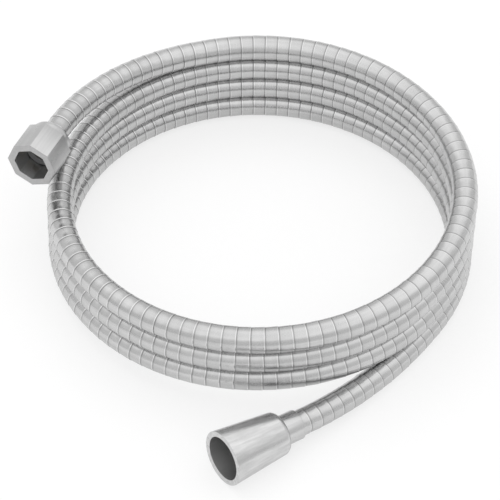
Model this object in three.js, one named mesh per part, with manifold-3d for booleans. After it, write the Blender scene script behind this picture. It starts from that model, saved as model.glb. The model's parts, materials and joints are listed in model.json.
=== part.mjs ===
// Flexible metal shower hose lying in a coil. A conical nut turns on its lower end and an octagonal
// nut on its upper end. Millimetres, +Z up, the floor under the lowest turn is z = 0.

import * as THREE from 'three';
import { mergeVertices } from 'three/addons/utils/BufferGeometryUtils.js';
import Module from 'manifold-3d';

const wasm = await Module();
wasm.setup();

// Clearances
const GAP = 0.3; // between pieces that touch or slide on each other
const FITTED_GAP = 0.35; // round the crimp sleeve, where a nut turns on it

// Hose
const HOSE_DIAMETER = 14;
const CASING_WALL = 1; // thickness of the folded and interlocked steel strip
const TUBE_WALL = 1.2;
const HOSE_SIDES = 12;
const TUBE_SIDES = 8;
const HOSE_STEPS = 118;

// Coil
const COIL_RADIUS = 109.5; // to the middle of the hose
const COIL_TURNS = 3.376; // between the places where the two ends leave it
const TURN_GAP = 0.4;
const LOWER_LEAVE = -31.7; // degrees round the coil, anticlockwise from +X seen from above
const FAR_TOUCH = 2.331; // radians round the lowest turn to its second touch, where tan(a / 2) = a

// Lower end of the hose
const LOWER_BEND_RADIUS = 270;
const LOWER_BEND_LENGTH = 104;
const LOWER_STRAIGHT = 49; // up to the mouth of the conical nut
const TOUCHDOWN_LENGTH = 36; // from leaving the coil to lying flat on the floor

// Upper end of the hose
const UPPER_BEND_RADIUS = 125;
const UPPER_BEND_LENGTH = 118;
const UPPER_STRAIGHT = 33.2; // up to the mouth of the octagonal nut
const UPPER_LIFT = 6.6; // rise over the bend, so that the nut's corners clear the turn below
const UPPER_SLOPE = 0.036; // rise for each millimetre of the straight stretch

// Pipe thread G 1/2 that both nuts take
const THREAD_MINOR_DIAMETER = 18.63;

// Conical nut
const CONE_LENGTH = 36.2;
const CONE_MOUTH_DIAMETER = 30;
const CONE_REAR_DIAMETER = 23.8;
const CONE_RIM_WIDTH = 3.1;
const CONE_RIM_BREAK = 0.4;
const CONE_SHELL_WALL = 2.2; // at the foot of the wide bore
const CONE_BORE_DEPTH = 14; // from the mouth to the first thread
const CONE_THREAD_LENGTH = 12;
const CONE_SHOULDER = 3.3; // rounding of the rear edge

// Octagonal nut
const OCTAGON_FLATS = 26.2;
const OCTAGON_LENGTH = 19.4; // of the eight flat faces
const OCTAGON_ROLL = 1.4; // degrees about its own axis
const OCTAGON_MOUTH_DEPTH = 17; // from the mouth to the floor that draws the flange up
const OCTAGON_EDGE_BREAK = 0.35; // of the corners at both ends
const COLLAR_DIAMETER = 22.9; // of the round collar behind the faces
const COLLAR_LENGTH = 6.6;
const COLLAR_ROUNDING_LENGTH = 3.2; // of its rear edge, along the axis
const COLLAR_ROUNDING_DEPTH = 2.4; // of its rear edge, towards the axis

// Floor inside each nut, which bears on the flange
const NUT_FLOOR = 2.2;

// Hose tails, crimp sleeves, slip rings and washers
const TAIL_BORE = 5;
const TAIL_NECK_DIAMETER = 12.4;
const TAIL_FLANGE_LENGTH = 1.8;
const BARB_COUNT = 4;
const BARB_PITCH = 3.4;
const BARB_HEIGHT = 0.45;
const SLEEVE_WALL = 0.75;
const SLEEVE_LIP = 1.2;
const SLEEVE_EDGE_BREAK = 0.3;
const SLEEVE_VISIBLE = 10.6; // behind the conical nut
const SLIP_RING_THICKNESS = 0.8;
const WASHER_THICKNESS = 2;
const WASHER_BORE = 11;

// Sizes that follow from the ones above
const TURN = 2 * Math.PI;
const hoseRadius = HOSE_DIAMETER / 2;
const coilRise = HOSE_DIAMETER + TURN_GAP;
const coilLength = COIL_RADIUS * COIL_TURNS * TURN;
const coilSlope = coilRise / (TURN * COIL_RADIUS);
const coilLean = coilSlope / Math.sin(FAR_TOUCH);
const coilStart = hoseRadius + (coilSlope * TOUCHDOWN_LENGTH) / 2;
const casingBoreRadius = hoseRadius - CASING_WALL;
const tubeRadius = casingBoreRadius * Math.cos(Math.PI / HOSE_SIDES) - GAP;
const tubeBoreRadius = tubeRadius - TUBE_WALL;
const barbRadius = tubeBoreRadius * Math.cos(Math.PI / TUBE_SIDES) - GAP;
const sleeveBoreRadius = hoseRadius + GAP;
const sleeveRadius = sleeveBoreRadius + SLEEVE_WALL;
const neckRadius = TAIL_NECK_DIAMETER / 2;
const neckHoleRadius = neckRadius + GAP;
const socketRadius = sleeveRadius + FITTED_GAP;
const threadRadius = THREAD_MINOR_DIAMETER / 2;
const flangeRadius = threadRadius - GAP;
const coneTaper = (CONE_MOUTH_DIAMETER - CONE_REAR_DIAMETER) / 2 / CONE_LENGTH;
const coneMouthHeight = (CONE_MOUTH_DIAMETER / 2) * Math.cos(Math.atan(coneTaper));
const coneFloorDepth = CONE_BORE_DEPTH + CONE_THREAD_LENGTH;
const octagonNutLength = OCTAGON_LENGTH + COLLAR_LENGTH;
const hoseLength =
  LOWER_STRAIGHT + LOWER_BEND_LENGTH + coilLength + UPPER_BEND_LENGTH + UPPER_STRAIGHT;

// Depths along a nut's axis, counted from its mouth
function fittingDepths(floorDepth, sleeveVisibleEnd) {
  const ringBack = floorDepth - GAP;
  const flangeBack = ringBack - SLIP_RING_THICKNESS - GAP;
  const washerBack = flangeBack - TAIL_FLANGE_LENGTH - GAP;
  const sleeveFront = floorDepth + NUT_FLOOR + GAP;
  const casingEnd = sleeveFront + SLEEVE_LIP + GAP;
  return { ringBack, flangeBack, washerBack, sleeveFront, casingEnd, sleeveBack: sleeveVisibleEnd };
}

const coneDepths = fittingDepths(coneFloorDepth, CONE_LENGTH + SLEEVE_VISIBLE);
const octagonDepths = fittingDepths(OCTAGON_MOUTH_DEPTH, octagonNutLength - GAP);

// Route of the hose

// Height after a distance along a stretch that starts and ends at given heights and slopes
function easedHeight(from, slopeFrom, to, slopeTo, length, distance) {
  const t = distance / length;
  const rise = t * t * (3 - 2 * t);
  const startPull = length * slopeFrom * t * (1 - t) * (1 - t);
  const endPull = length * slopeTo * t * t * (t - 1);
  return from + (to - from) * rise + startPull + endPull;
}

function coilHeight(angle) {
  return coilStart + (coilRise * angle) / TURN - coilLean * COIL_RADIUS * (1 - Math.cos(angle));
}

// Place in plan after a distance along an end, which leaves the coil on a wider bend and runs out straight
function endPlan(leave, way, bendRadius, bendLength, distance) {
  const bent = Math.min(distance, bendLength);
  const straight = Math.max(distance - bendLength, 0);
  const angle = leave + (way * bent) / bendRadius;
  const centre = COIL_RADIUS - bendRadius;
  return new THREE.Vector2(
    centre * Math.cos(leave) + bendRadius * Math.cos(angle) - way * straight * Math.sin(angle),
    centre * Math.sin(leave) + bendRadius * Math.sin(angle) + way * straight * Math.cos(angle),
  );
}

function lowerHeight(distance) {
  const straightStart = coneMouthHeight - LOWER_STRAIGHT * coneTaper;
  if (distance < TOUCHDOWN_LENGTH) {
    return easedHeight(coilStart, -coilSlope, hoseRadius, 0, TOUCHDOWN_LENGTH, distance);
  }
  if (distance < LOWER_BEND_LENGTH) {
    const length = LOWER_BEND_LENGTH - TOUCHDOWN_LENGTH;
    const past = distance - TOUCHDOWN_LENGTH;
    return easedHeight(hoseRadius, 0, straightStart, coneTaper, length, past);
  }
  return straightStart + coneTaper * (distance - LOWER_BEND_LENGTH);
}

function upperHeight(distance) {
  const angle = COIL_TURNS * TURN;
  const start = coilHeight(angle);
  const slope = coilSlope - coilLean * Math.sin(angle);
  const bent = Math.min(distance, UPPER_BEND_LENGTH);
  const straight = Math.max(distance - UPPER_BEND_LENGTH, 0);
  const height = easedHeight(start, slope, start + UPPER_LIFT, UPPER_SLOPE, UPPER_BEND_LENGTH, bent);
  return height + straight * UPPER_SLOPE;
}

// Middle of the hose at a distance from the mouth of the conical nut
function routePoint(distance) {
  const leave = THREE.MathUtils.degToRad(LOWER_LEAVE);
  const coilFrom = LOWER_STRAIGHT + LOWER_BEND_LENGTH;
  const coilTo = coilFrom + coilLength;
  if (distance < coilFrom) {
    const out = coilFrom - distance;
    const plan = endPlan(leave, -1, LOWER_BEND_RADIUS, LOWER_BEND_LENGTH, out);
    return new THREE.Vector3(plan.x, plan.y, lowerHeight(out));
  }
  if (distance > coilTo) {
    const out = distance - coilTo;
    const upperLeave = leave + COIL_TURNS * TURN;
    const plan = endPlan(upperLeave, 1, UPPER_BEND_RADIUS, UPPER_BEND_LENGTH, out);
    return new THREE.Vector3(plan.x, plan.y, upperHeight(out));
  }
  const angle = (distance - coilFrom) / COIL_RADIUS;
  const x = COIL_RADIUS * Math.cos(leave + angle);
  const y = COIL_RADIUS * Math.sin(leave + angle);
  return new THREE.Vector3(x, y, coilHeight(angle));
}

// The stretch of the hose between the ends of its casing
class HoseRoute extends THREE.Curve {
  getPoint(t, target = new THREE.Vector3()) {
    const from = coneDepths.casingEnd;
    const to = hoseLength - octagonDepths.casingEnd;
    return target.copy(routePoint(from + t * (to - from)));
  }
}

// Shapes

function polygonPath(path, radius, sides, roll = 0) {
  for (let i = 0; i < sides; i += 1) {
    const angle = roll + (TURN * i) / sides;
    const x = radius * Math.cos(angle);
    const y = radius * Math.sin(angle);
    if (i === 0) path.moveTo(x, y);
    else path.lineTo(x, y);
  }
  path.closePath();
  return path;
}

// Hollow section swept along the whole hose
function sweptTube(radius, boreRadius, sides) {
  const section = polygonPath(new THREE.Shape(), radius, sides);
  section.holes.push(polygonPath(new THREE.Path(), boreRadius, sides));
  return new THREE.ExtrudeGeometry(section, {
    extrudePath: new HoseRoute(),
    steps: HOSE_STEPS,
    curveSegments: 1,
  });
}

// Turned piece from a closed outline of [radius, depth behind the mouth], with its axis along +Z
function turned(outline, segments = 40) {
  const points = outline.map(([radius, depth]) => new THREE.Vector2(radius, -depth)).reverse();
  points.push(points[0].clone());
  const geometry = new THREE.LatheGeometry(points, segments);
  geometry.rotateX(Math.PI / 2);
  return geometry;
}

function toSolid(geometry) {
  const bare = geometry.clone();
  bare.deleteAttribute('normal');
  bare.deleteAttribute('uv');
  const merged = mergeVertices(bare, 1e-4);
  const mesh = new wasm.Mesh({
    numProp: 3,
    vertProperties: new Float32Array(merged.attributes.position.array),
    triVerts: new Uint32Array(merged.index.array),
  });
  return new wasm.Manifold(mesh);
}

function toGeometry(solid) {
  const mesh = solid.getMesh();
  const geometry = new THREE.BufferGeometry();
  geometry.setAttribute('position', new THREE.BufferAttribute(mesh.vertProperties, 3));
  geometry.setIndex(new THREE.BufferAttribute(mesh.triVerts, 1));
  geometry.computeVertexNormals();
  return geometry;
}

// Octagonal bar from one depth to a deeper one
function octagonBar(flats, fromDepth, toDepth) {
  const radius = flats / 2 / Math.cos(Math.PI / 8);
  const shape = polygonPath(new THREE.Shape(), radius, 8, THREE.MathUtils.degToRad(OCTAGON_ROLL));
  const bar = new THREE.ExtrudeGeometry(shape, { depth: toDepth - fromDepth, bevelEnabled: false });
  bar.translate(0, 0, -toDepth);
  return bar;
}

// Pieces

const metal = (color, roughness) =>
  new THREE.MeshStandardMaterial({ color, roughness, metalness: 1 });
const plain = (color, roughness) =>
  new THREE.MeshStandardMaterial({ color, roughness, metalness: 0 });

function coneNutGeometry() {
  const mouth = CONE_MOUTH_DIAMETER / 2;
  const outerAt = (depth) => mouth - coneTaper * depth;
  const shoulder = [];
  const shoulderSteps = 5;
  for (let i = 0; i <= shoulderSteps; i += 1) {
    const angle = (i / shoulderSteps) * (Math.PI / 2);
    const depth = CONE_LENGTH - CONE_SHOULDER * (1 - Math.sin(angle));
    shoulder.push([outerAt(CONE_LENGTH) - CONE_SHOULDER * (1 - Math.cos(angle)), depth]);
  }
  return turned([
    [mouth - CONE_RIM_WIDTH, 0],
    [mouth - CONE_RIM_BREAK, 0],
    [outerAt(CONE_RIM_BREAK), CONE_RIM_BREAK],
    ...shoulder,
    [socketRadius, CONE_LENGTH],
    [socketRadius, coneFloorDepth + NUT_FLOOR],
    [neckHoleRadius, coneFloorDepth + NUT_FLOOR],
    [neckHoleRadius, coneFloorDepth],
    [threadRadius, coneFloorDepth],
    [threadRadius, CONE_BORE_DEPTH],
    [outerAt(CONE_BORE_DEPTH) - CONE_SHELL_WALL, CONE_BORE_DEPTH],
  ]);
}

function octagonNutGeometry() {
  const vertex = OCTAGON_FLATS / 2 / Math.cos(Math.PI / 8);
  const collar = COLLAR_DIAMETER / 2;
  const rounding = [];
  const roundingSteps = 5;
  for (let i = 0; i <= roundingSteps; i += 1) {
    const angle = (i / roundingSteps) * (Math.PI / 2);
    const depth = octagonNutLength - COLLAR_ROUNDING_LENGTH * (1 - Math.sin(angle));
    rounding.push([collar - COLLAR_ROUNDING_DEPTH * (1 - Math.cos(angle)), depth]);
  }
  const envelope = turned([
    [0, 0],
    [vertex - OCTAGON_EDGE_BREAK, 0],
    [vertex, OCTAGON_EDGE_BREAK],
    [vertex, OCTAGON_LENGTH - OCTAGON_EDGE_BREAK],
    [vertex - OCTAGON_EDGE_BREAK, OCTAGON_LENGTH],
    [collar, OCTAGON_LENGTH],
    ...rounding,
    [0, octagonNutLength],
  ]);
  const neckHole = turned([
    [0, OCTAGON_MOUTH_DEPTH - 1],
    [neckHoleRadius, OCTAGON_MOUTH_DEPTH - 1],
    [neckHoleRadius, OCTAGON_MOUTH_DEPTH + NUT_FLOOR],
    [socketRadius, OCTAGON_MOUTH_DEPTH + NUT_FLOOR],
    [socketRadius, octagonNutLength + 1],
    [0, octagonNutLength + 1],
  ]);
  const opening = octagonBar(THREAD_MINOR_DIAMETER, -1, OCTAGON_MOUTH_DEPTH);
  const solid = toSolid(octagonBar(OCTAGON_FLATS, 0, octagonNutLength))
    .intersect(toSolid(envelope))
    .subtract(toSolid(opening))
    .subtract(toSolid(neckHole));
  return toGeometry(solid);
}

// Brass tail with a flange for the washer, a neck for the sleeve's lip and barbs inside the hose
function tailGeometry(depths) {
  const bore = TAIL_BORE / 2;
  const neckEnd = depths.sleeveFront + SLEEVE_LIP;
  const outline = [
    [bore, depths.washerBack + GAP],
    [flangeRadius, depths.washerBack + GAP],
    [flangeRadius, depths.flangeBack],
    [neckRadius, depths.flangeBack],
    [neckRadius, neckEnd],
    [barbRadius - BARB_HEIGHT, neckEnd],
  ];
  for (let i = 0; i < BARB_COUNT; i += 1) {
    const start = neckEnd + BARB_PITCH * (i + 0.5);
    outline.push([barbRadius - BARB_HEIGHT, start]);
    outline.push([barbRadius, start]);
    outline.push([barbRadius - BARB_HEIGHT, start + BARB_PITCH * 0.8]);
  }
  const tip = neckEnd + BARB_PITCH * (BARB_COUNT + 0.5);
  outline.push([barbRadius - BARB_HEIGHT, tip]);
  outline.push([bore, tip]);
  return turned(outline, 20);
}

function sleeveGeometry(depths) {
  return turned([
    [neckHoleRadius, depths.sleeveFront],
    [sleeveRadius, depths.sleeveFront],
    [sleeveRadius, depths.sleeveBack - SLEEVE_EDGE_BREAK],
    [sleeveRadius - SLEEVE_EDGE_BREAK, depths.sleeveBack],
    [sleeveBoreRadius, depths.sleeveBack],
    [sleeveBoreRadius, depths.sleeveFront + SLEEVE_LIP],
    [neckHoleRadius, depths.sleeveFront + SLEEVE_LIP],
  ]);
}

function ringGeometry(boreRadius, radius, back, thickness) {
  return turned([
    [boreRadius, back - thickness],
    [radius, back - thickness],
    [radius, back],
    [boreRadius, back],
  ]);
}

function named(name, geometry, material) {
  const mesh = new THREE.Mesh(geometry, material);
  mesh.name = name;
  return mesh;
}

// Group whose +Z runs out of a hose end and whose origin is the middle of the nut's mouth
function endGroup(mouthDistance, inward) {
  const mouth = routePoint(mouthDistance);
  const out = mouth.clone().sub(routePoint(mouthDistance + inward)).normalize();
  const side = new THREE.Vector3().crossVectors(out, new THREE.Vector3(0, 0, 1)).normalize();
  const up = new THREE.Vector3().crossVectors(side, out);
  const group = new THREE.Group();
  group.quaternion.setFromRotationMatrix(new THREE.Matrix4().makeBasis(up, side, out));
  group.position.copy(mouth);
  return group;
}

const hose = new THREE.Group();
hose.add(named('steel_casing', sweptTube(hoseRadius, casingBoreRadius, HOSE_SIDES), metal(0xb9bbbd, 0.3)));
hose.add(named('inner_tube', sweptTube(tubeRadius, tubeBoreRadius, TUBE_SIDES), plain(0xd9d8d2, 0.6)));

const ends = [
  {
    prefix: 'cone',
    group: endGroup(0, 1),
    depths: coneDepths,
    nut: named('cone_nut', coneNutGeometry(), metal(0xc4c6c8, 0.32)),
  },
  {
    prefix: 'octagon',
    group: endGroup(hoseLength, -1),
    depths: octagonDepths,
    nut: named('octagon_nut', octagonNutGeometry(), metal(0xc2c4c6, 0.35)),
  },
];

for (const { prefix, group, depths, nut } of ends) {
  const slipRing = ringGeometry(neckHoleRadius, flangeRadius, depths.ringBack, SLIP_RING_THICKNESS);
  const washer = ringGeometry(WASHER_BORE / 2, flangeRadius, depths.washerBack, WASHER_THICKNESS);
  group.add(
    nut,
    named(`${prefix}_end_tail`, tailGeometry(depths), metal(0xb8975a, 0.4)),
    named(`${prefix}_end_sleeve`, sleeveGeometry(depths), metal(0xc0c2c4, 0.3)),
    named(`${prefix}_end_slip_ring`, slipRing, plain(0xe4e2da, 0.5)),
    named(`${prefix}_end_washer`, washer, plain(0x262626, 0.8)),
  );
  hose.add(group);
}

// Origin under the middle of the bounding box, on the floor
hose.updateMatrixWorld(true);
const box = new THREE.Box3().setFromObject(hose, true);
const middle = box.getCenter(new THREE.Vector3());
const object = new THREE.Group();
hose.position.set(-middle.x, -middle.y, -box.min.z);
object.add(hose);

export default object;
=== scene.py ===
# Flexible metal shower hose, coiled on a pale floor. Metres, +Z up.
import json
import math

import bmesh
import bpy
import numpy as np
from mathutils import Matrix, Vector


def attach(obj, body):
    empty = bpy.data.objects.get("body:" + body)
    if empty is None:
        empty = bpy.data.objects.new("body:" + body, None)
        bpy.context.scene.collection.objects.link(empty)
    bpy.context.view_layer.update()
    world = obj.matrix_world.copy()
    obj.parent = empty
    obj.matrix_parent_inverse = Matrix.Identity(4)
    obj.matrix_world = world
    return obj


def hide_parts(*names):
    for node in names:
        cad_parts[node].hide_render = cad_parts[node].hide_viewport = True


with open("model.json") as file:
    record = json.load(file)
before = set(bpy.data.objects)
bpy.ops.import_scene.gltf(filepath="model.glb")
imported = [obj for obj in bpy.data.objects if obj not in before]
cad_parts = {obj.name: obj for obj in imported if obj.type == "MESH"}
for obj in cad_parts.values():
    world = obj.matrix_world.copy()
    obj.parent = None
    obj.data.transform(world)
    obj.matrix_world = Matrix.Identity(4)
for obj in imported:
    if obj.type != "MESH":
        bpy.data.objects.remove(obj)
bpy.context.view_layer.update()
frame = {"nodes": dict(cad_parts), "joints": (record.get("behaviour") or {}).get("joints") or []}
nodes = frame["nodes"]
joints = {joint["name"]: joint for joint in frame["joints"]}
mm = 0.001
turn = 2 * math.pi


def grey(value):
    return (value, value, value, 1)


# making and finishing meshes

def linkObject(name, data):
    obj = bpy.data.objects.new(name, data)
    bpy.context.scene.collection.objects.link(obj)
    return obj


def linkMesh(name, verts, faces):
    mesh = bpy.data.meshes.new(name)
    mesh.from_pydata([tuple(v) for v in verts], [], faces)
    mesh.validate()
    mesh.shade_smooth()
    return linkObject(name, mesh)


def shadeSmooth(obj, sharpAngle):
    obj.data.shade_smooth()
    obj.data.set_sharp_from_angle(angle=math.radians(sharpAngle))


def fixNormals(obj):
    bm = bmesh.new()
    bm.from_mesh(obj.data)
    bmesh.ops.recalc_face_normals(bm, faces=bm.faces)
    bm.to_mesh(obj.data)
    bm.free()


def applyModifiers(obj):
    depsgraph = bpy.context.evaluated_depsgraph_get()
    baked = bpy.data.meshes.new_from_object(obj.evaluated_get(depsgraph))
    old = obj.data
    obj.modifiers.clear()
    obj.data = baked
    obj.data.name = obj.name
    bpy.data.meshes.remove(old)


# Coordinates of the skin in millimetres, kept on the mesh so that they turn with the piece.
def paintSkin(obj, vectors):
    skin = obj.data.attributes.new("skin", "FLOAT_VECTOR", "POINT")
    skin.data.foreach_set("vector", np.asarray(vectors, np.float32).ravel())


def paintMask(obj, name, values):
    mask = obj.data.attributes.new(name, "FLOAT", "POINT")
    mask.data.foreach_set("value", np.asarray(values, np.float32).ravel())


# route of the hose, as the solids have it

route = {
    "radius": 7.0 * mm,
    "coilRadius": 109.5 * mm,
    "coilTurns": 3.376,
    "coilRise": 14.4 * mm,
    "lowerLeave": math.radians(-31.7),
    "farTouch": 2.331,  # radians along the lowest turn
    "lowerBendRadius": 270 * mm,
    "lowerBendLength": 104 * mm,
    "lowerStraight": 49 * mm,
    "touchdown": 36 * mm,
    "coneTaper": 3.1 / 36.2,
    "coneMouthRadius": 15 * mm,
    "upperBendRadius": 125 * mm,
    "upperBendLength": 118 * mm,
    "upperStraight": 33.2 * mm,
    "upperSlope": 0.036,
    "upperLift": 6.6 * mm,
    "pathPoints": 700,
}
coilLength = route["coilRadius"] * route["coilTurns"] * turn
coilSlope = route["coilRise"] / (turn * route["coilRadius"])
coilLean = coilSlope / math.sin(route["farTouch"])
coilStart = route["radius"] + coilSlope * route["touchdown"] / 2
hoseLength = (route["lowerStraight"] + route["lowerBendLength"] + coilLength
              + route["upperBendLength"] + route["upperStraight"])


def eased(start, slopeStart, end, slopeEnd, length, along):
    t = along / length
    return (start + (end - start) * t * t * (3 - 2 * t)
            + length * slopeStart * t * (1 - t) ** 2 + length * slopeEnd * t * t * (t - 1))


def coilHeight(angle):
    return (coilStart + route["coilRise"] * angle / turn
            - coilLean * route["coilRadius"] * (1 - np.cos(angle)))


# A bend that leaves the coil at an angle, then a straight stretch. Way is 1 up the coil, -1 down it.
def endPlan(leave, way, bendRadius, bendLength, along):
    bent = np.minimum(along, bendLength)
    straight = np.maximum(along - bendLength, 0)
    angle = leave + way * bent / bendRadius
    centre = route["coilRadius"] - bendRadius
    x = centre * math.cos(leave) + bendRadius * np.cos(angle) - way * straight * np.sin(angle)
    y = centre * math.sin(leave) + bendRadius * np.sin(angle) + way * straight * np.cos(angle)
    return x, y


def lowerHeight(along):
    taper = route["coneTaper"]
    mouthHeight = route["coneMouthRadius"] * math.cos(math.atan(taper))
    straightStart = mouthHeight - route["lowerStraight"] * taper
    touch, bend = route["touchdown"], route["lowerBendLength"]
    flat = eased(coilStart, -coilSlope, route["radius"], 0, touch, np.clip(along, 0, touch))
    climb = eased(route["radius"], 0, straightStart, taper, bend - touch,
                  np.clip(along - touch, 0, bend - touch))
    return np.where(along < touch, flat, climb) + taper * np.maximum(along - bend, 0)


def upperHeight(along):
    angle = route["coilTurns"] * turn
    start = coilHeight(angle)
    slope = coilSlope - coilLean * math.sin(angle)
    bend = route["upperBendLength"]
    height = eased(start, slope, start + route["upperLift"], route["upperSlope"], bend,
                   np.clip(along, 0, bend))
    return height + route["upperSlope"] * np.maximum(along - bend, 0)


def routeFromMouth(distance):  # middle of the hose, counted from the conical nut's mouth
    distance = np.asarray(distance, float)
    coilFrom = route["lowerStraight"] + route["lowerBendLength"]
    coilTo = coilFrom + coilLength
    leave = route["lowerLeave"]
    angle = np.clip(distance - coilFrom, 0, coilLength) / route["coilRadius"]
    x = route["coilRadius"] * np.cos(leave + angle)
    y = route["coilRadius"] * np.sin(leave + angle)
    down = np.maximum(coilFrom - distance, 0)
    lowerX, lowerY = endPlan(leave, -1, route["lowerBendRadius"], route["lowerBendLength"], down)
    up = np.maximum(distance - coilTo, 0)
    upperX, upperY = endPlan(leave + route["coilTurns"] * turn, 1,
                             route["upperBendRadius"], route["upperBendLength"], up)
    lower, upper = distance < coilFrom, distance > coilTo
    x = np.where(lower, lowerX, np.where(upper, upperX, x))
    y = np.where(lower, lowerY, np.where(upper, upperY, y))
    z = np.where(lower, lowerHeight(down), np.where(upper, upperHeight(up), coilHeight(angle)))
    return np.stack([x, y, z], axis=-1)


routeShift = np.array(joints["cone_nut_spin"]["pos_m"]) - routeFromMouth(0.0)


def routeAt(distance):
    return routeFromMouth(distance) + routeShift


print("route", round(hoseLength, 4), "m, shifted by", routeShift.round(5).tolist())


# camera

viewpoint = {
    "target": (4.97 * mm, 28.96 * mm, -1.21 * mm),
    "elevation": 46.41,
    "roll": -1.64,
    "distance": 1518.2 * mm,
    "lens": 197.45,
    "sensor": 36,
    "clip": (0.05, 20),
}


def placeCamera(spec):
    elevation, roll = math.radians(spec["elevation"]), math.radians(spec["roll"])
    forward = Vector((0, math.cos(elevation), -math.sin(elevation)))
    level, up = Vector((1, 0, 0)), Vector((0, math.sin(elevation), math.cos(elevation)))
    right = level * math.cos(roll) - up * math.sin(roll)
    top = level * math.sin(roll) + up * math.cos(roll)
    data = bpy.data.cameras.new("camera")
    data.lens, data.sensor_width = spec["lens"], spec["sensor"]
    data.clip_start, data.clip_end = spec["clip"]
    camera = linkObject("camera", data)
    turned = Matrix((right, top, -forward)).transposed().to_4x4()
    camera.matrix_world = Matrix.Translation(Vector(spec["target"]) - forward * spec["distance"]) @ turned
    bpy.context.scene.camera = camera


placeCamera(viewpoint)
print("camera", viewpoint["elevation"], "degrees up")


# light

softBox = {"at": (-0.3, 0.6, 1.4), "aim": (0, 0, 0.03), "size": (1.2, 1.0), "power": 3}
studio = {
    "strength": 1.24,
    "tones": [  # height of the view direction, share of the strength
        (0.0, 0.53), (0.05, 0.58), (0.12, 0.62), (0.5, 0.66), (0.72, 0.97), (1.0, 1.0),
    ],
}


def addSoftBox(spec):
    data = bpy.data.lights.new("softBox", "AREA")
    data.shape = "RECTANGLE"
    data.size, data.size_y = spec["size"]
    data.energy = spec["power"]
    lamp = linkObject("softBox", data)
    lamp.location = spec["at"]
    toward = Vector(spec["aim"]) - Vector(spec["at"])
    lamp.rotation_euler = toward.to_track_quat("-Z", "Y").to_euler()
    lamp.visible_glossy = False  # the metal mirrors the plain room


def addStudio(spec):  # bright ceiling, dimmer walls
    world = bpy.data.worlds.new("studio")
    world.use_nodes = True
    tree = world.node_tree
    direction = tree.nodes.new("ShaderNodeTexCoord").outputs["Generated"]
    split = tree.nodes.new("ShaderNodeSeparateXYZ")
    tree.links.new(direction, split.inputs["Vector"])
    ramp = tree.nodes.new("ShaderNodeValToRGB")
    tree.links.new(split.outputs["Z"], ramp.inputs["Fac"])
    stops = ramp.color_ramp.elements
    while len(stops) < len(spec["tones"]):
        stops.new(0.5)
    for stop, (height, tone) in zip(stops, spec["tones"]):
        stop.position, stop.color = height, grey(tone)
    background = tree.nodes["Background"]
    tree.links.new(ramp.outputs["Color"], background.inputs["Color"])
    background.inputs["Strength"].default_value = spec["strength"]
    bpy.context.scene.world = world


addSoftBox(softBox)
addStudio(studio)
bpy.context.scene.view_settings.view_transform = "Standard"
print("soft box", softBox["power"], "W, studio", studio["strength"])


# laying out shader nodes

def feed(tree, socket, source):  # source is another node's output, or a number or colour
    if isinstance(source, bpy.types.NodeSocket):
        tree.links.new(source, socket)
    else:
        socket.default_value = source


def addNode(tree, kind, inputs, **settings):
    node = tree.nodes.new(kind)
    for key, value in settings.items():
        setattr(node, key, value)
    for socket, source in inputs.items():
        feed(tree, node.inputs[socket], source)
    return node


def newGroup(name, inputs):
    tree = bpy.data.node_groups.new(name, "ShaderNodeTree")
    tree.interface.new_socket("Vector", in_out="INPUT", socket_type="NodeSocketVector")
    for label, kind, value in inputs:
        tree.interface.new_socket(label, in_out="INPUT", socket_type=kind).default_value = value
    for label, kind in (("Color", "NodeSocketColor"), ("Roughness", "NodeSocketFloat"),
                        ("Normal", "NodeSocketVector")):
        tree.interface.new_socket(label, in_out="OUTPUT", socket_type=kind)
    return tree, tree.nodes.new("NodeGroupInput").outputs, tree.nodes.new("NodeGroupOutput").inputs


def noise(tree, vector, grain):
    if "stretch" in grain:
        vector = addNode(tree, "ShaderNodeVectorMath", {0: vector, 1: grain["stretch"]},
                         operation="MULTIPLY").outputs[0]
    return addNode(tree, "ShaderNodeTexNoise", {
        "Vector": vector, "Scale": grain["scale"], "Detail": grain["detail"]}).outputs["Fac"]


def remap(tree, value, span, low, high):  # span of the value, stretched to low and high
    return addNode(tree, "ShaderNodeMapRange", {
        "Value": value, "From Min": span[0], "From Max": span[1],
        "To Min": low, "To Max": high}).outputs["Result"]


def mixColour(tree, factor, a, b):
    node = addNode(tree, "ShaderNodeMix", {}, data_type="RGBA")
    for label, source in (("Factor", factor), ("A", a), ("B", b)):
        feed(tree, next(i for i in node.inputs if i.name == label and i.enabled), source)
    return next(o for o in node.outputs if o.enabled)


def maskOf(tree, name):
    return addNode(tree, "ShaderNodeAttribute", {}, attribute_name=name).outputs["Fac"]


# satin skin of the metals

satin = {
    "streak": {"stretch": (1, 1, 0.04), "scale": 0.55, "detail": 2},  # along the piece
    "line": {"stretch": (0.12, 0.12, 1), "scale": 9, "detail": 4},  # left by the turning
    "smudge": {"scale": 0.14, "detail": 4},
    "smudgeShare": 0.35,
    "toneSpan": (0.5, 0.85),
    "glossSpan": (0.6, 1.4),
    "lineHeight": 0.1 * mm,
    "boreRoughness": 0.6,
}


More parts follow.
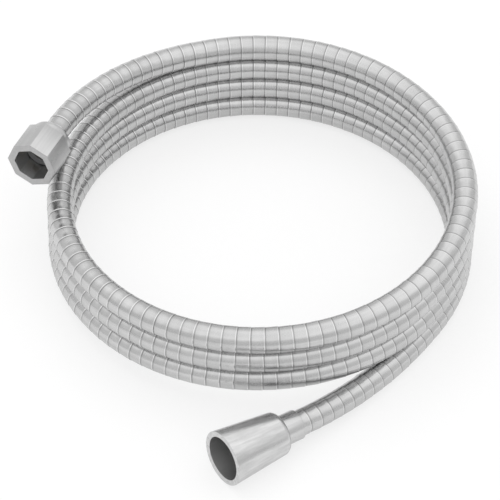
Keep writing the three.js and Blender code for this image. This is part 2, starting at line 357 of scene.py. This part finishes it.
# Vector is in millimetres, its Z along the axis that the piece was polished on.
def buildSatinGroup(spec):
    tree, given, made = newGroup("satinSkin", [
        ("Light Tone", "NodeSocketColor", grey(0.58)),
        ("Dull Tone", "NodeSocketColor", grey(0.5)),
        ("Smooth", "NodeSocketFloat", 0.3),
        ("Rough", "NodeSocketFloat", 0.42),
        ("Line Depth", "NodeSocketFloat", 0.01),
    ])
    streaks = noise(tree, given["Vector"], spec["streak"])
    lines = noise(tree, given["Vector"], spec["line"])
    smudge = noise(tree, given["Vector"], spec["smudge"])
    blend = addNode(tree, "ShaderNodeMath", {0: smudge, 1: spec["smudgeShare"], 2: streaks},
                    operation="MULTIPLY_ADD").outputs[0]
    tone = remap(tree, blend, spec["toneSpan"], 0, 1)
    feed(tree, made["Color"], mixColour(tree, tone, given["Dull Tone"], given["Light Tone"]))
    gloss = addNode(tree, "ShaderNodeMath", {0: streaks, 1: lines}, operation="ADD").outputs[0]
    feed(tree, made["Roughness"], remap(tree, gloss, spec["glossSpan"], given["Rough"], given["Smooth"]))
    bump = addNode(tree, "ShaderNodeBump", {
        "Height": lines, "Strength": given["Line Depth"], "Distance": spec["lineHeight"]})
    feed(tree, made["Normal"], bump.outputs["Normal"])
    return tree


# moulded skin of the plastics and the rubber, with a fine pebble and a few paler scuffs

moulded = {
    "pebble": {"scale": 6, "detail": 3},
    "scuff": {"scale": 0.7, "detail": 5},
    "scuffSpan": (0.45, 0.75),
    "glossSpan": (0.3, 0.7),
    "pebbleDepth": 0.25,
    "pebbleHeight": 0.1 * mm,
}


def buildMouldedGroup(spec):
    tree, given, made = newGroup("mouldedSkin", [
        ("Tone", "NodeSocketColor", grey(0.7)),
        ("Scuffed Tone", "NodeSocketColor", grey(0.8)),
        ("Smooth", "NodeSocketFloat", 0.4),
        ("Rough", "NodeSocketFloat", 0.6),
    ])
    pebble = noise(tree, given["Vector"], spec["pebble"])
    scuffs = remap(tree, noise(tree, given["Vector"], spec["scuff"]), spec["scuffSpan"], 0, 1)
    feed(tree, made["Color"], mixColour(tree, scuffs, given["Tone"], given["Scuffed Tone"]))
    feed(tree, made["Roughness"], remap(tree, pebble, spec["glossSpan"], given["Smooth"], given["Rough"]))
    bump = addNode(tree, "ShaderNodeBump", {
        "Height": pebble, "Strength": spec["pebbleDepth"], "Distance": spec["pebbleHeight"]})
    feed(tree, made["Normal"], bump.outputs["Normal"])
    return tree


satinGroup = buildSatinGroup(satin)
mouldedGroup = buildMouldedGroup(moulded)


def newMaterial(name, group, finish):
    material = bpy.data.materials.new(name)
    material.use_nodes = True
    tree = material.node_tree
    skin = addNode(tree, "ShaderNodeAttribute", {}, attribute_name="skin").outputs["Vector"]
    placed = addNode(tree, "ShaderNodeGroup", {"Vector": skin, **finish}, node_tree=group)
    bsdf = tree.nodes["Principled BSDF"]
    feed(tree, bsdf.inputs["Roughness"], placed.outputs["Roughness"])
    feed(tree, bsdf.inputs["Normal"], placed.outputs["Normal"])
    feed(tree, bsdf.inputs["Base Color"], placed.outputs["Color"])
    return material, tree, placed, bsdf


# Polished outside. Where the "bore" mask of the mesh is set, the metal is rougher and its colour goes
# toward boreTone: painted shade in the bore and at the rear foot of the conical nut, a darker rim on the
# octagonal nut.
def satinMetal(name, finish, boreTone=None):
    material, tree, skin, bsdf = newMaterial(name, satinGroup, finish)
    bsdf.inputs["Metallic"].default_value = 1.0
    if boreTone:
        bore = maskOf(tree, "bore")
        feed(tree, bsdf.inputs["Base Color"], mixColour(tree, bore, skin.outputs["Color"], boreTone))
        feed(tree, bsdf.inputs["Roughness"],
             remap(tree, bore, (0, 1), skin.outputs["Roughness"], satin["boreRoughness"]))
    return material


print("skins", satinGroup.name, mouldedGroup.name)


# casing of the hose, a row of bands with a groove at the start and a lip at the end of each; painted shade
# darkens each groove and a painted highlight brightens each lip

casing = {
    "coneEnd": 30 * mm,  # behind the conical nut's mouth
    "octagonEnd": 21 * mm,  # behind the octagonal nut's mouth
    "bandPitch": 7.1 * mm,
    "sides": 30,
    "profile": [  # share of a band, radius, painted shade at the groove, painted highlight on the lip
        (0.0, 6.76 * mm, 1.0, 0.0),
        (0.03, 6.81 * mm, 1.0, 0.0),
        (0.065, 6.84 * mm, 0.8, 0.0),
        (0.1, 6.86 * mm, 0.15, 0.0),
        (0.45, 6.90 * mm, 0.0, 0.0),
        (0.89, 6.95 * mm, 0.0, 0.0),  # foot of the lip that hooks over the next band
        (0.92, 7.02 * mm, 0.0, 0.5),
        (0.95, 7.03 * mm, 0.0, 1.0),
        (0.975, 6.90 * mm, 0.3, 0.0),
    ],
    "boreRadius": 6.0 * mm,
    "wobble": 0.02 * mm,  # of each band about the middle line
    "lean": 0.011,
    "mostLean": 0.025,
    "seed": 7,
    "sharpAngle": 50,
    "finish": {"Light Tone": grey(0.62), "Dull Tone": grey(0.56),
               "Smooth": 0.2, "Rough": 0.3, "Line Depth": 0.015},
    "darkTone": grey(0.3),
    "darkShare": 0.12,  # of the darkest band
    # colour of the painted highlight on each lip
    "lipHighlightTone": grey(0.8),
    # colour of the painted shade in the groove between bands
    "seamShadeTone": grey(0.38),
}


def crossFrame(distances):
    step = 0.2 * mm
    tangent = routeAt(distances + step) - routeAt(distances - step)
    tangent /= np.linalg.norm(tangent, axis=1)[:, None]
    side = np.cross(tangent, [0, 0, 1.0])
    side /= np.linalg.norm(side, axis=1)[:, None]
    return routeAt(distances), side, np.cross(side, tangent)


def bandRows(profile, bands):  # number of the band, then a point of its profile
    rows = [(band,) + point for band in range(bands) for point in profile]
    rows.append((bands - 1, 1.0) + profile[0][1:])
    return [np.array(column) for column in zip(*rows)]


def casingFaces(rings, sides):
    faces = []
    for ring in range(rings - 1):
        a, b = ring * sides, (ring + 1) * sides
        faces += [(a + s, b + s, b + (s + 1) % sides, a + (s + 1) % sides) for s in range(sides)]
    last, boreFirst, boreLast = (rings - 1) * sides, rings * sides, (rings + 1) * sides
    for s in range(sides):  # the cut ends, closed onto the tube
        t = (s + 1) % sides
        faces.append((boreFirst + s, s, t, boreFirst + t))
        faces.append((last + s, boreLast + s, boreLast + t, last + t))
    return faces


def buildCasing(spec):
    start, end = spec["coneEnd"], hoseLength - spec["octagonEnd"]
    bands = round((end - start) / spec["bandPitch"])
    pitch = (end - start) / bands
    band, share, radii, seamShade, lip = bandRows(spec["profile"], bands)
    stations = start + (band + share) * pitch
    middle, side, up = crossFrame(stations)
    rng = np.random.default_rng(spec["seed"])
    shift = rng.normal(0, spec["wobble"], (bands, 2))[band]
    lean = rng.normal(0, spec["lean"], (bands, 2)).clip(-spec["mostLean"], spec["mostLean"])
    shift += lean[band] * (share - 0.5)[:, None] * pitch
    middle = middle + side * shift[:, :1] + up * shift[:, 1:]
    rings, sides = len(stations), spec["sides"]
    around = np.arange(sides) * turn / sides
    ring = (side[:, None, :] * np.cos(around)[None, :, None]
            + up[:, None, :] * np.sin(around)[None, :, None])
    verts = (middle[:, None, :] + ring * radii[:, None, None]).reshape(-1, 3)
    bore = [middle[r] + ring[r] * spec["boreRadius"] for r in (0, -1)]
    obj = linkMesh("hose_casing", np.concatenate([verts] + bore), casingFaces(rings, sides))
    shadeSmooth(obj, spec["sharpAngle"])
    row = np.concatenate([np.repeat(np.arange(rings), sides), np.repeat([0, rings - 1], sides)])
    angle = np.tile(around, rings + 2)
    outside = route["radius"] / mm
    paintSkin(obj, np.stack(
        [outside * np.cos(angle), outside * np.sin(angle), stations[row] / mm], axis=-1))
    # masks for the painted shade in each groove and the painted highlight on each lip
    paintMask(obj, "seamShade", seamShade[row])
    paintMask(obj, "lip", lip[row])
    paintMask(obj, "bandTone", rng.uniform(0, 1, bands)[band[row]])
    return obj, start, end


def casingSteel(spec):
    material, tree, skin, bsdf = newMaterial("hoseSteel", satinGroup, spec["finish"])
    bsdf.inputs["Metallic"].default_value = 1.0
    darker = remap(tree, maskOf(tree, "bandTone"), (0, 1), 0, spec["darkShare"])
    toned = mixColour(tree, darker, skin.outputs["Color"], spec["darkTone"])
    # painted highlight on each lip
    lipHighlighted = mixColour(tree, maskOf(tree, "lip"), toned, spec["lipHighlightTone"])
    # painted shade in the groove between bands
    shaded = mixColour(tree, maskOf(tree, "seamShade"), lipHighlighted, spec["seamShadeTone"])
    feed(tree, bsdf.inputs["Base Color"], shaded)
    return material


hoseObj, hoseStart, hoseEnd = buildCasing(casing)
hoseObj.data.materials.append(casingSteel(casing))
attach(hoseObj, "hose")
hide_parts("steel_casing")
print("casing", len(hoseObj.data.polygons), "faces")


# Where the ends' pieces lie: from and to, in millimetres behind each nut's mouth.

hoseEnds = {
    "cone": {"nut": "cone_nut", "washer": (20.5, 22.5), "flange": (22.8, 24.6),
             "ring": (24.9, 25.7), "sleeve": (28.5, 46.8)},
    "octagon": {"nut": "octagon_nut", "washer": (11.5, 13.5), "flange": (13.8, 15.6),
                "ring": (15.9, 16.7), "sleeve": (19.5, 25.7)},
}
endSharpAngle = 35


def endMatrix(jointName):
    joint = joints[jointName]
    out = Vector(joint["axis"]).normalized()
    side = out.cross(Vector((0, 0, 1))).normalized()
    up = side.cross(out)
    turned = Matrix((up, side, out)).transposed().to_4x4()
    return Matrix.Translation(joint["pos_m"]) @ turned


endFrames = {"cone": endMatrix("cone_nut_spin"), "octagon": endMatrix("octagon_nut_spin")}


def arc(centre, radius, fromDeg, toDeg, steps):
    angles = [math.radians(fromDeg + (toDeg - fromDeg) * i / steps) for i in range(steps + 1)]
    return [(centre[0] + radius * math.cos(a), centre[1] + radius * math.sin(a)) for a in angles]


def pointAt(radius, depth, angle):
    return (radius * mm * math.cos(angle), radius * mm * math.sin(angle), -depth * mm)


# Closed outline of (radius, depth behind the mouth) in millimetres, turned about the end's axis.
# groove(depth, angle) is added to the radius of points tagged as thread.
def turnedPiece(name, outline, segments, groove=None):
    verts, faces = [], []
    count = len(outline)
    for s in range(segments):
        angle = turn * s / segments
        for radius, depth, *tag in outline:
            verts.append(pointAt(radius + groove(depth, angle) if tag else radius, depth, angle))
    for s in range(segments):
        nextRing = (s + 1) % segments
        for k in range(count):
            m = (k + 1) % count
            faces.append((s * count + k, nextRing * count + k, nextRing * count + m, s * count + m))
    obj = linkMesh(name, verts, faces)
    fixNormals(obj)
    return obj


def turnedSolid(name, outline, segments):  # outline runs from the axis back to the axis
    bm = bmesh.new()
    verts = [bm.verts.new((r * mm, 0, -d * mm)) for r, d in outline]
    edges = [bm.edges.new((verts[i], verts[i + 1])) for i in range(len(verts) - 1)]
    bmesh.ops.spin(bm, geom=verts + edges, cent=(0, 0, 0), axis=(0, 0, 1), angle=turn,
                   steps=segments, use_merge=True)
    bmesh.ops.remove_doubles(bm, verts=bm.verts, dist=mm / 1000)
    bmesh.ops.recalc_face_normals(bm, faces=bm.faces)
    mesh = bpy.data.meshes.new(name)
    bm.to_mesh(mesh)
    bm.free()
    return linkObject(name, mesh)


def placeAtEnd(obj, end, boreMask):
    local = np.array([v.co for v in obj.data.vertices]) / mm
    paintSkin(obj, local)
    if boreMask:
        paintMask(obj, "bore", boreMask(np.hypot(local[:, 0], local[:, 1]), -local[:, 2]))
    obj.data.transform(endFrames[end])
    shadeSmooth(obj, endSharpAngle)


def dress(obj, end, body, nodeName, material, boreMask=None):
    placeAtEnd(obj, end, boreMask)
    obj.data.materials.append(material)
    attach(obj, body)
    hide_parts(nodeName)


# conical nut

coneNut = {
    "length": 36.2,
    "mouthRadius": 15.0,
    "rearRadius": 11.9,
    "shoulder": 3.3,
    "rim": 3.1,
    "rimBreak": 0.35,
    "boreDepth": 14.0,
    "boreFootRadius": 11.6,
    "boreFootRound": 0.5,
    "floor": 26.0,
    "floorThickness": 2.2,
    "neckHole": 6.5,
    "socket": 8.4,
    "socketBreak": 0.1,
    "segments": 128,
    "finish": {"Light Tone": grey(0.67), "Dull Tone": grey(0.55),
               "Smooth": 0.2, "Rough": 0.3, "Line Depth": 0.015},
    # colour of the painted shade in the bore and at the rear foot
    "boreTone": grey(0.3),
    "boreMask": 0.8,
    "polishedDepth": 0.25,  # from the mouth into the bore
    "dullShadedBore": 12.05,  # inside this radius ahead of the thread
    "dullShadedThread": 10.6,  # inside this radius from the thread on
    "threadFrom": 14.1,
    # painted shade, with more roughness, at the rear foot where the nut meets the sleeve
    "rearDullAndShade": {"from": 33, "radius": 11.8, "fade": 1.5},
}
thread = {"minorRadius": 9.315, "depth": 1.0, "pitch": 1.814, "relief": 0.6, "first": 0.7,
          "last": 0.9, "chamfer": 0.8, "steps": 54}


def threadGroove(depth, angle):  # right-hand G 1/2 thread, a rounded V
    phase = (depth / thread["pitch"] + angle / turn) % 1.0
    v = 1 - abs(2 * phase - 1)
    return thread["depth"] * (v * v * (3 - 2 * v))


def threadOutline(floor, foot):  # from the nut's floor out to the foot of the bore
    minor, major = thread["minorRadius"], thread["minorRadius"] + thread["depth"]
    points = [(major, floor), (major, floor - thread["relief"])]
    for depth in np.linspace(floor - thread["first"], foot + thread["last"], thread["steps"]):
        points.append((minor, depth, "thread"))
    return points + [(minor, foot + thread["chamfer"]), (minor + thread["chamfer"], foot)]


def coneOutline(spec):
    end, shoulder, edge = spec["length"], spec["shoulder"], spec["rimBreak"]
    floor, foot, footRound = spec["floor"], spec["boreDepth"], spec["boreFootRound"]
    taper = (spec["mouthRadius"] - spec["rearRadius"]) / end
    footRadius = spec["boreFootRadius"] - footRound
    points = arc((spec["mouthRadius"] - spec["rim"] + edge, edge), edge, 180, 270, 4)
    points += arc((spec["mouthRadius"] - taper * edge - edge, edge), edge, 270, 360, 5)
    points += arc((spec["rearRadius"] - shoulder, end - shoulder), shoulder, 0, 90, 12)
    points += [(spec["socket"], end - spec["socketBreak"])]
    points += [(spec["socket"], floor + spec["floorThickness"])]
    points += [(spec["neckHole"], floor + spec["floorThickness"]), (spec["neckHole"], floor)]
    points += threadOutline(floor, foot)
    points += arc((footRadius, foot - footRound), footRound, 90, 0, 3)
    return points


# Mask of the conical nut: rougher, with painted shade, in the bore and at the rear foot
def coneDullAndShade(radius, depth):
    rear = coneNut["rearDullAndShade"]
    wall = np.where(depth < coneNut["threadFrom"], coneNut["dullShadedBore"], coneNut["dullShadedThread"])
    inside = (depth > coneNut["polishedDepth"]) & (radius < wall)
    return np.where(depth > rear["from"], np.clip((rear["radius"] - radius) / rear["fade"], 0, 1),
                    np.where(inside, coneNut["boreMask"], 0))


coneObj = turnedPiece("cone_nut_shell", coneOutline(coneNut), coneNut["segments"], threadGroove)
print("conical nut", len(coneObj.data.polygons), "faces")


# octagonal nut

octagonNut = {
    "flats": 26.2,
    "faceLength": 19.4,
    "roll": 1.4,
    "mouthDepth": 17.0,
    "opening": 18.63,
    "collarRadius": 11.45,
    "collarLength": 6.6,
    "collarRoot": 2,  # inside the faces
    "rounding": (2.4, 3.2),  # inwards, along the axis
    "roundingSteps": 8,
    "floorThickness": 2.2,
    "neckHole": 6.5,
    "socket": 8.4,
    "past": 1,  # how far each cut runs past its end
    "segments": 96,
    "edge": 0.22,
    "edgeSteps": 3,
    "edgeAngle": 28,
    "finish": {"Light Tone": grey(0.62), "Dull Tone": grey(0.56),
               "Smooth": 0.26, "Rough": 0.36, "Line Depth": 0.015},
    "boreTone": grey(0.3),
    "rimMask": 0.45,
    "rimDepth": 0.1,
}


def octagonPrism(name, flats, fromDepth, toDepth):
    radius = flats / 2 / math.cos(math.pi / 8)
    angles = [math.radians(octagonNut["roll"]) + i * turn / 8 for i in range(8)]
    verts = [pointAt(radius, depth, angle) for depth in (fromDepth, toDepth) for angle in angles]
    faces = [(i, (i + 1) % 8, 8 + (i + 1) % 8, 8 + i) for i in range(8)]
    faces += [tuple(range(7, -1, -1)), tuple(range(8, 16))]
    obj = linkMesh(name, verts, faces)
    fixNormals(obj)
    return obj


def joinCut(base, tool, operation):
    cut = base.modifiers.new(operation.lower(), "BOOLEAN")
    cut.object, cut.operation, cut.solver = tool, operation, "EXACT"
    applyModifiers(base)
    bpy.data.objects.remove(tool)


def collarOutline(spec, end):
    inward, along = spec["rounding"]
    root = spec["faceLength"] - spec["collarRoot"]
    points = [(0.0, root), (spec["collarRadius"], root)]
    for i in range(spec["roundingSteps"] + 1):
        a = math.radians(90 * i / spec["roundingSteps"])
        points.append((spec["collarRadius"] - inward * (1 - math.cos(a)),
                       end - along * (1 - math.sin(a))))
    return points + [(0.0, end)]


def holeOutline(spec, end):  # the neck's hole through the floor, then the sleeve's socket
    start, finish = spec["mouthDepth"] - spec["past"], end + spec["past"]
    floorBack = spec["mouthDepth"] + spec["floorThickness"]
    return [(0.0, start), (spec["neckHole"], start), (spec["neckHole"], floorBack),
            (spec["socket"], floorBack), (spec["socket"], finish), (0.0, finish)]


def buildOctagonNut(spec):
    end = spec["faceLength"] + spec["collarLength"]
    nut = octagonPrism("octagon_nut_shell", spec["flats"], 0, spec["faceLength"])
    joinCut(nut, turnedSolid("collar", collarOutline(spec, end), spec["segments"]), "UNION")
    joinCut(nut, octagonPrism("opening", spec["opening"], -spec["past"], spec["mouthDepth"]), "DIFFERENCE")
    joinCut(nut, turnedSolid("hole", holeOutline(spec, end), spec["segments"]), "DIFFERENCE")
    bevel = nut.modifiers.new("edge", "BEVEL")
    bevel.width, bevel.segments = spec["edge"] * mm, spec["edgeSteps"]
    bevel.limit_method, bevel.angle_limit = "ANGLE", math.radians(spec["edgeAngle"])
    bevel.use_clamp_overlap = True
    applyModifiers(nut)
    return nut


def octagonRimDarkAndRough(radius, depth):  # the rim is painted a little darker than the faces, and made rougher
    return np.where(depth < octagonNut["rimDepth"], octagonNut["rimMask"], 0)


octagonObj = buildOctagonNut(octagonNut)
print("octagonal nut", len(octagonObj.data.polygons), "faces")


# crimp sleeves

sleeve = {
    "radius": 8.05,
    "bore": 7.3,
    "lipHole": 6.5,
    "lip": 1.2,
    "frontRound": 0.5,
    "rearRound": 0.3,
    "boreBreak": 0.12,
    "segments": 96,
    "finish": {"Light Tone": grey(0.62), "Dull Tone": grey(0.56),
               "Smooth": 0.2, "Rough": 0.3, "Line Depth": 0.015},
}


def sleeveOutline(spec, front, back):
    frontRound, rearRound, edge = spec["frontRound"], spec["rearRound"], spec["boreBreak"]
    points = [(spec["lipHole"], front)]
    points += arc((spec["radius"] - frontRound, front + frontRound), frontRound, 270, 360, 4)
    points += arc((spec["radius"] - rearRound, back - rearRound), rearRound, 0, 90, 4)
    points += [(spec["bore"] + edge, back), (spec["bore"], back - edge)]
    return points + [(spec["bore"], front + spec["lip"]), (spec["lipHole"], front + spec["lip"])]


# hose tails

tail = {
    "bore": 2.5,
    "flangeRadius": 9.015,
    "flangeBreak": 0.2,
    "neck": 6.2,
    "core": 3.4,
    "barb": 3.85,
    "barbs": 4,
    "barbPitch": 3.4,
    "barbFace": 0.1,
    "barbLength": 2.7,
    "segments": 64,
    "finish": {"Light Tone": (0.55, 0.48, 0.37, 1), "Dull Tone": (0.46, 0.4, 0.31, 1),
               "Smooth": 0.35, "Rough": 0.5, "Line Depth": 0.015},
}


def tailOutline(spec, front, back, neckEnd):
    flange, edge, core = spec["flangeRadius"], spec["flangeBreak"], spec["core"]
    points = [(spec["bore"], front), (flange - edge, front), (flange, front + edge)]
    points += [(flange, back - edge), (flange - edge, back), (spec["neck"], back)]
    points += [(spec["neck"], neckEnd), (core, neckEnd)]
    for i in range(spec["barbs"]):
        start = neckEnd + spec["barbPitch"] * (i + 0.5)
        points += [(core, start), (spec["barb"], start + spec["barbFace"])]
        points += [(core, start + spec["barbLength"])]
    tip = neckEnd + spec["barbPitch"] * (spec["barbs"] + 0.5)
    return points + [(core, tip), (spec["bore"], tip)]


# slip rings, washers and the inner tube

slipRing = {
    "bore": 6.5,
    "round": 0.12,
    "segments": 64,
    "finish": {"Tone": (0.78, 0.76, 0.7, 1), "Scuffed Tone": (0.84, 0.82, 0.77, 1),
               "Smooth": 0.4, "Rough": 0.55},
}
washer = {
    "bore": 5.5,
    "round": 0.3,
    "segments": 64,
    "finish": {"Tone": grey(0.13), "Scuffed Tone": grey(0.17), "Smooth": 0.6, "Rough": 0.8},
}
innerTube = {
    "finish": {"Tone": (0.7, 0.68, 0.62, 1), "Scuffed Tone": (0.78, 0.76, 0.7, 1),
               "Smooth": 0.4, "Rough": 0.55},
}


def flatRing(spec, front, back):  # as wide as the tail's flange, with rounded edges
    inner, outer, edge = spec["bore"], tail["flangeRadius"], spec["round"]
    points = arc((inner + edge, front + edge), edge, 180, 270, 3)
    points += arc((outer - edge, front + edge), edge, 270, 360, 3)
    points += arc((outer - edge, back - edge), edge, 0, 90, 3)
    points += arc((inner + edge, back - edge), edge, 90, 180, 3)
    return points


coneMetal = satinMetal("coneNutMetal", coneNut["finish"], coneNut["boreTone"])
octagonMetal = satinMetal("octagonNutMetal", octagonNut["finish"], octagonNut["boreTone"])
sleeveMetal = satinMetal("sleeveMetal", sleeve["finish"])
brassMetal = satinMetal("brassMetal", tail["finish"])
ringPlastic = newMaterial("ringPlastic", mouldedGroup, slipRing["finish"])[0]
washerRubber = newMaterial("washerRubber", mouldedGroup, washer["finish"])[0]
tubePlastic = newMaterial("tubePlastic", mouldedGroup, innerTube["finish"])[0]

dress(coneObj, "cone", "cone_nut", "cone_nut", coneMetal, coneDullAndShade)
dress(octagonObj, "octagon", "octagon_nut", "octagon_nut", octagonMetal, octagonRimDarkAndRough)
for end, place in hoseEnds.items():
    neckEnd = place["sleeve"][0] + sleeve["lip"]
    sleeveObj = turnedPiece(end + "_sleeve", sleeveOutline(sleeve, *place["sleeve"]), sleeve["segments"])
    dress(sleeveObj, end, "hose", end + "_end_sleeve", sleeveMetal)
    tailObj = turnedPiece(end + "_tail", tailOutline(tail, *place["flange"], neckEnd), tail["segments"])
    dress(tailObj, end, "hose", end + "_end_tail", brassMetal)
    ringObj = turnedPiece(end + "_ring", flatRing(slipRing, *place["ring"]), slipRing["segments"])
    dress(ringObj, end, "hose", end + "_end_slip_ring", ringPlastic)
    washerObj = turnedPiece(end + "_washer", flatRing(washer, *place["washer"]), washer["segments"])
    dress(washerObj, end, place["nut"], end + "_end_washer", washerRubber)

tubeNode = nodes["inner_tube"]
paintSkin(tubeNode, np.array([v.co for v in tubeNode.data.vertices]) / mm)
tubeNode.data.materials.clear()
tubeNode.data.materials.append(tubePlastic)

print("tube and cord", round(hoseEnd - hoseStart, 4), "m")


# floor

floorPaint = {
    "half": 6.0,
    "tone": grey(0.95),
    "roughness": 0.9,
    "seenWhite": 0.7,  # share of plain white where the floor is looked at
    "mirroredWhite": 0.4,  # and where it is mirrored
}


def buildFloor(spec):
    half = spec["half"]
    obj = linkMesh("floor", [(-half, -half, 0), (half, -half, 0), (half, half, 0), (-half, half, 0)],
                   [(0, 1, 2, 3)])
    material = bpy.data.materials.new("floorPaint")
    material.use_nodes = True
    tree = material.node_tree
    bsdf = tree.nodes["Principled BSDF"]
    bsdf.inputs["Base Color"].default_value = spec["tone"]
    bsdf.inputs["Roughness"].default_value = spec["roughness"]
    bsdf.inputs["Specular IOR Level"].default_value = 0.0
    ray = tree.nodes.new("ShaderNodeLightPath").outputs
    seen = addNode(tree, "ShaderNodeMath", {0: ray["Is Camera Ray"], 1: spec["seenWhite"]},
                   operation="MULTIPLY").outputs[0]
    share = addNode(tree, "ShaderNodeMath", {0: ray["Is Glossy Ray"], 1: spec["mirroredWhite"], 2: seen},
                    operation="MULTIPLY_ADD").outputs[0]
    white = addNode(tree, "ShaderNodeEmission", {"Color": grey(1), "Strength": 1.0}).outputs[0]
    both = addNode(tree, "ShaderNodeMixShader", {0: share, 1: bsdf.outputs[0], 2: white}).outputs[0]
    feed(tree, tree.nodes["Material Output"].inputs["Surface"], both)
    obj.data.materials.append(material)


buildFloor(floorPaint)
print("floor", 2 * floorPaint["half"], "m wide")
